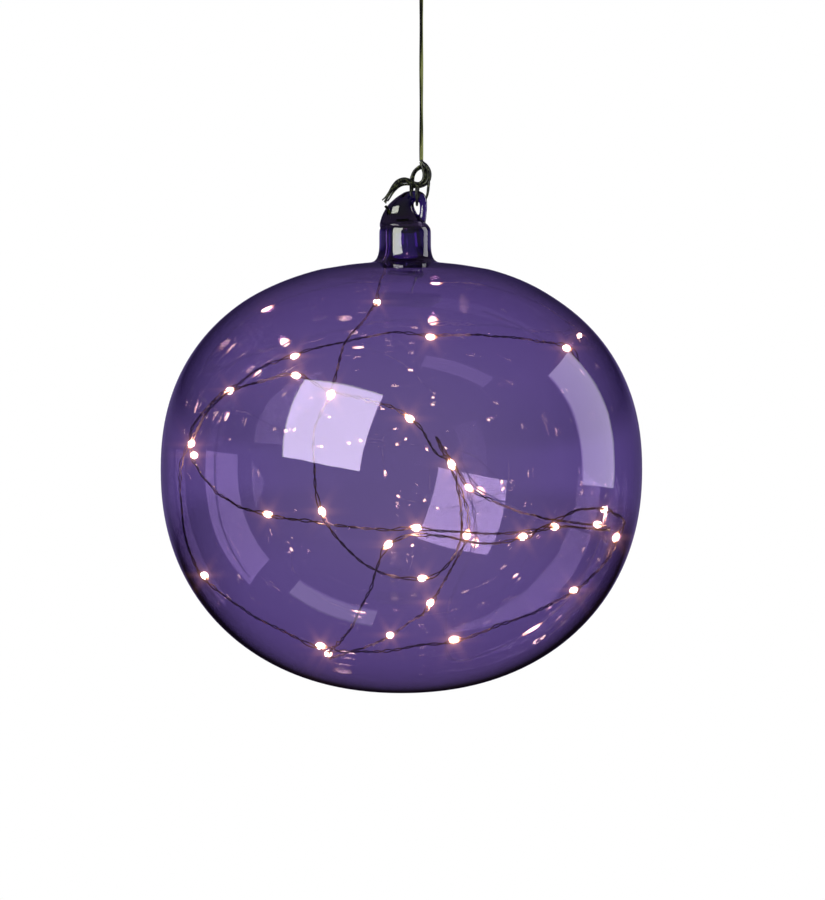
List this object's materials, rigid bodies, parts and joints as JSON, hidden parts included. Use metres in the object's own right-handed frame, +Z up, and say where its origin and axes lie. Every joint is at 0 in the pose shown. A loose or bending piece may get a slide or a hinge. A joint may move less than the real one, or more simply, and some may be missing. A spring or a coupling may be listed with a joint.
{
  "type": "hanging glass globe light",
  "caption": "Violet blown-glass globe with a drawn glass hook, lit by a wire string of tiny lights, hanging on a thin lead from a battery case with a wire bail.",
  "frame": {"origin": "the hanging point: the inside of the wire bail's top, straight over the lead", "axes": "+Z up along the lead, +X to the right with the bail's feet, -Y the front, where the battery door is"},
  "size_m": [0.1602, 0.1602, 0.3318],
  "materials": {
    "violet_glass": "clear, polished by fire",
    "olive_lead": "thin insulated strands, twisted",
    "dark_wire": "dark lacquered copper wire",
    "resin_bead": "clear resin drop, lit warm white from inside",
    "bail_steel": "drawn wire",
    "case_plastic": "fine moulded texture",
    "knob_plastic": "moulded",
    "relief_rubber": "soft matt",
    "cell_wrap": "plain plastic wrap, no lettering",
    "spring_steel": "nickel plated",
    "board_laminate": "solder mask"
  },
  "bodies": {
    "hanger": {"hanging_bail": "bail_steel"},
    "battery_case": {"case_tray": "case_plastic", "strain_relief": "relief_rubber", "driver_board": "board_laminate", "switch_body": "case_plastic", "contact_bridge_top": "spring_steel", "contact_positive": "spring_steel", "contact_negative": "spring_steel", "contact_bridge_bottom": "spring_steel", "cell_left": "cell_wrap", "cell_middle": "cell_wrap", "cell_right": "cell_wrap", "spring_left": "spring_steel", "spring_middle": "spring_steel", "spring_right": "spring_steel"},
    "door": {"battery_door": "case_plastic"},
    "switch": {"switch_knob": "knob_plastic"},
    "lead": {"hanging_lead": "olive_lead"},
    "knot": {"lead_knot": "olive_lead", "hook_loop": "olive_lead", "lead_ends": "olive_lead"},
    "globe": {"glass_globe": "violet_glass", "glass_hook": "violet_glass", "lead_tail": "olive_lead", "led_wire": "dark_wire", "led_01": "resin_bead", "led_02": "resin_bead", "led_03": "resin_bead", "led_04": "resin_bead", "led_05": "resin_bead", "led_06": "resin_bead", "led_07": "resin_bead", "led_08": "resin_bead", "led_09": "resin_bead", "led_10": "resin_bead", "led_11": "resin_bead", "led_12": "resin_bead", "led_13": "resin_bead", "led_14": "resin_bead", "led_15": "resin_bead", "led_16": "resin_bead", "led_17": "resin_bead", "led_18": "resin_bead", "led_19": "resin_bead", "led_20": "resin_bead", "led_21": "resin_bead", "led_22": "resin_bead", "led_23": "resin_bead", "led_24": "resin_bead", "led_25": "resin_bead", "led_26": "resin_bead", "led_27": "resin_bead", "led_28": "resin_bead", "led_29": "resin_bead", "led_30": "resin_bead"}
  },
  "joints": [
    {"name": "bail_pivot", "type": "hinge", "parent": "hanger", "child": "battery_case", "pos_m": [0, 0, -0.017], "axis": [1, 0, 0], "range_deg": [-45, 45]},
    {"name": "door_slide", "type": "slide", "parent": "battery_case", "child": "door", "axis": [0, 0, 1], "range_m": [0, 0.055]},
    {"name": "switch_slide", "type": "slide", "parent": "battery_case", "child": "switch", "axis": [0, 0, 1], "range_m": [-0.003, 0]},
    {"name": "lead_swing", "type": "hinge", "parent": "battery_case", "child": "lead", "pos_m": [0, 0, -0.094], "axis": [0, 1, 0], "range_deg": [-30, 30]},
    {"name": "lead_twist", "type": "hinge", "parent": "lead", "child": "knot", "pos_m": [0, 0, -0.1527], "axis": [0, 0, 1], "range_deg": [-180, 180]},
    {"name": "globe_tilt", "type": "hinge", "parent": "knot", "child": "globe", "pos_m": [-0.00155, 0, -0.16455], "axis": [1, 0, 0], "range_deg": [-25, 25]}
  ]
}
